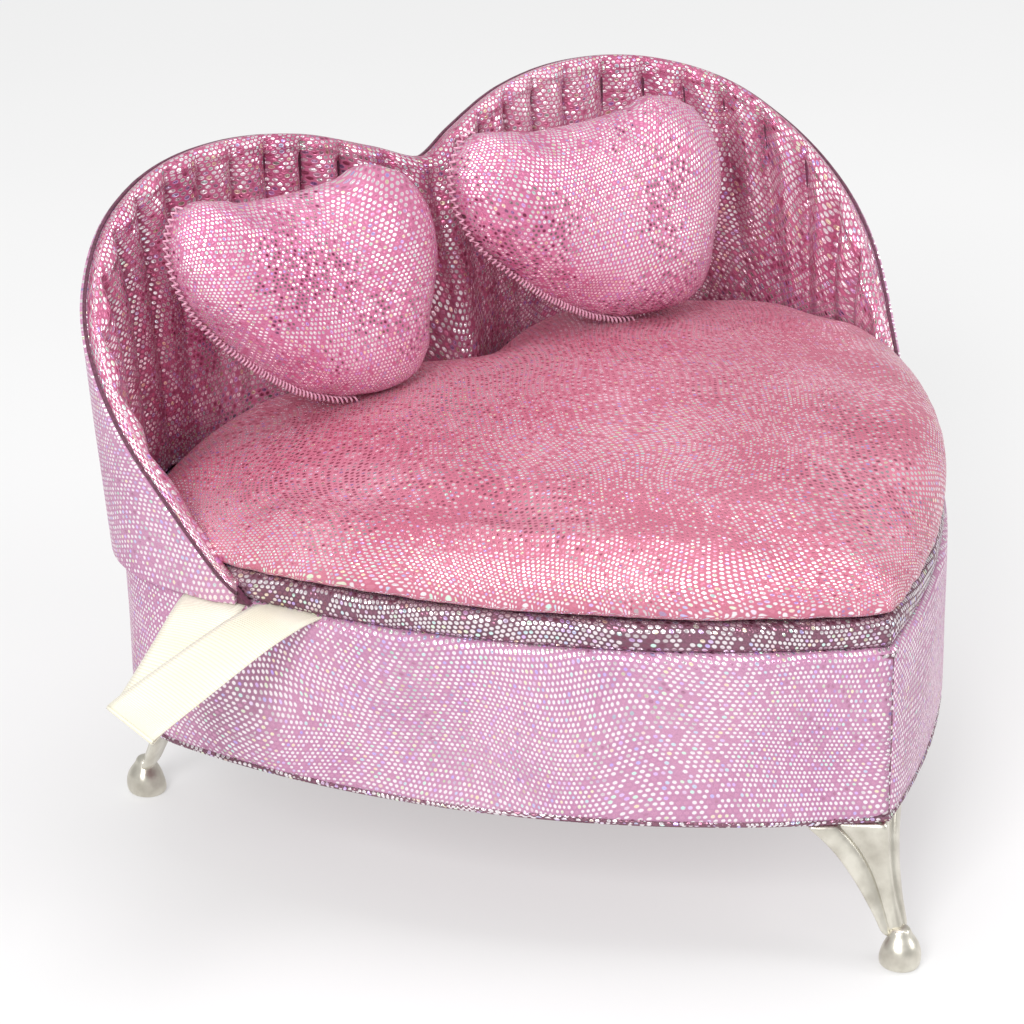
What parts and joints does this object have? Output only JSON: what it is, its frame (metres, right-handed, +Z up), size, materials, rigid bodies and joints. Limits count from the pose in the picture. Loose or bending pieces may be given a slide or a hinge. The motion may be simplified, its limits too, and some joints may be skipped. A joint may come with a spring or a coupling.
{
  "type": "jewelry box",
  "caption": "Heart-shaped jewelry box made as a small padded sofa: a covered box on cast metal feet, with a hinged seat lid, curved pleated backrest, heart pillows and a ribbon stay.",
  "frame": {"origin": "on the surface that the feet stand on, on the symmetry plane, between the lobes' widest points", "axes": "+Z up, +Y towards the notch and the backrest, +X to the right of someone facing the back"},
  "size_m": [0.2523, 0.2012, 0.1632],
  "materials": {
    "foil_fabric_rose": "rose knit printed with small mirror-like foil dots",
    "foil_fabric_lilac": "lilac pink knit printed with small mirror-like foil dots",
    "foil_fabric_dark": "dark crimson side of the dotted knit",
    "piping_fabric": "dark plum binding",
    "lining": "soft pale pink velvet",
    "board": "matt grey board",
    "leg_metal": "satin warm pewter casting",
    "hinge_metal": "brushed nickel",
    "screw_steel": "plated steel",
    "ribbon": "ivory grosgrain",
    "mirror_glass": "silvered glass",
    "frame_trim": "fabric covered trim"
  },
  "bodies": {
    "box": {"base_cover": "foil_fabric_dark", "base_board": "board", "wall_board": "board", "wall_cover": "foil_fabric_lilac", "wall_lining": "lining", "floor_pad": "lining", "divider_cross": "lining", "divider_middle": "lining", "ring_rolls": "lining", "leg_front": "leg_metal", "leg_left": "leg_metal", "leg_right": "leg_metal", "leg_screws": "screw_steel", "hinge_leaves_lower": "hinge_metal", "hinge_screws_lower": "screw_steel", "hinge_pins": "hinge_metal", "ribbon_stay": "ribbon"},
    "lid": {"lid_board": "board", "lid_board_cover": "foil_fabric_rose", "lid_lining_pad": "lining", "lid_mirror": "mirror_glass", "mirror_frame": "frame_trim", "back_outer_panel": "foil_fabric_lilac", "back_piping": "piping_fabric", "back_inner_board": "board", "back_pad": "foil_fabric_rose", "seat_cushion": "foil_fabric_rose", "pillow_left": "foil_fabric_rose", "pillow_right": "foil_fabric_rose", "hinge_leaves_upper": "hinge_metal", "hinge_screws_upper": "screw_steel"}
  },
  "joints": [
    {"name": "lid_hinge", "type": "hinge", "parent": "box", "child": "lid", "pos_m": [0, 0.0484, 0.07805], "axis": [-1, 0, 0], "range_deg": [0, 85]}
  ]
}
